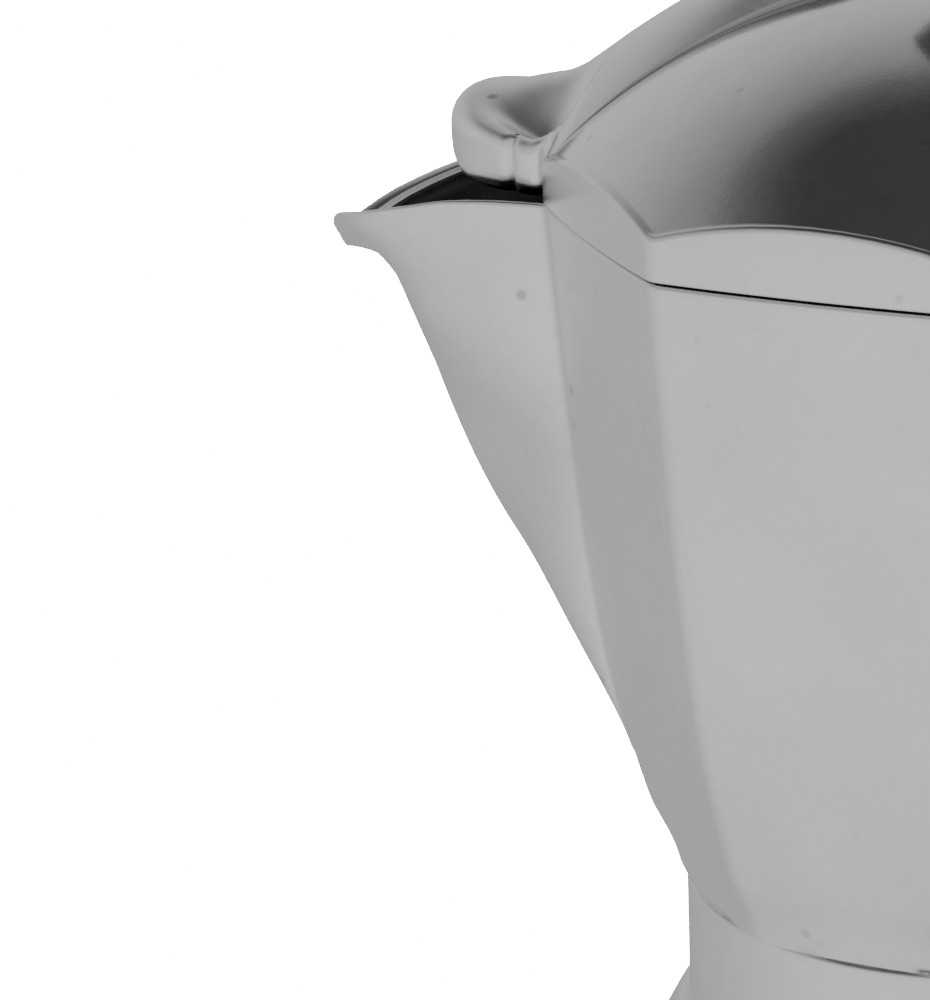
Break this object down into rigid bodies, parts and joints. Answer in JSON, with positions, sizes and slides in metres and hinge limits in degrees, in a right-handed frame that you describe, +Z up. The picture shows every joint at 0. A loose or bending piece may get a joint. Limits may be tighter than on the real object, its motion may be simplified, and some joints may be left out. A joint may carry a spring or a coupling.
{
  "type": "moka pot",
  "caption": "Octagonal stovetop coffee maker: a boiler with safety valve, a screwed-on collector with beaked spout, hinged domed lid with hood, knob and side handle, funnel, gasket and filter.",
  "frame": {"origin": "middle of the flat base, on the pot's vertical axis", "axes": "+Z up, the spout points along -X and the handle along +X"},
  "size_m": [0.1958, 0.1044, 0.2219],
  "materials": {
    "cast_aluminium": "polished cast aluminium with a soft satin haze",
    "pressed_aluminium": "bright pressed sheet",
    "brass": "turned brass",
    "steel": "plain turned steel",
    "spring_steel": "drawn spring wire",
    "silicone": "matt off-white silicone",
    "fibre": "red-brown fibre washer",
    "bakelite": "glossy black phenolic"
  },
  "bodies": {
    "boiler": {"boiler": "cast_aluminium", "valve_body": "brass", "valve_washer": "fibre", "valve_spring": "spring_steel", "valve_cap": "brass"},
    "valve_pin": {"valve_poppet": "brass", "valve_seal": "silicone"},
    "funnel": {"funnel": "pressed_aluminium", "funnel_sieve": "pressed_aluminium"},
    "gasket": {"gasket": "silicone"},
    "filter": {"filter_plate": "pressed_aluminium"},
    "collector": {"collector": "cast_aluminium", "riser_column": "cast_aluminium", "hinge_pin": "steel", "handle": "bakelite", "handle_screw": "steel"},
    "lid": {"lid": "cast_aluminium", "knob": "bakelite", "knob_insert": "brass", "knob_screw": "steel", "knob_washer": "steel"}
  },
  "joints": [
    {"name": "valve_lift", "type": "slide", "parent": "boiler", "child": "valve_pin", "axis": [0, -1, 0], "range_m": [0, 0.0012], "stiffness_N_per_m": 700, "springref_m": -0.002, "deforming": ["valve_spring"]},
    {"name": "funnel_lift", "type": "slide", "parent": "boiler", "child": "funnel", "axis": [0, 0, 1], "range_m": [0, 0.09]},
    {"name": "collector_lift", "type": "slide", "parent": "funnel", "child": "gasket", "axis": [0, 0, 1], "range_m": [0, 0.06]},
    {"name": "unscrew_rise", "type": "slide", "parent": "gasket", "child": "filter", "axis": [0, 0, 1], "range_m": [0, 0.0046]},
    {"name": "unscrew_turn", "type": "hinge", "parent": "filter", "child": "collector", "pos_m": [0, 0, 0.08], "axis": [0, 0, 1], "range_deg": [0, 540]},
    {"name": "lid_hinge", "type": "hinge", "parent": "collector", "child": "lid", "pos_m": [0.05557, 0, 0.173], "axis": [0, 1, 0], "range_deg": [0, 105]}
  ],
  "couplings": [
    {"joint": "unscrew_rise", "follows": "unscrew_turn", "m_per_rad": 0.00047746}
  ]
}
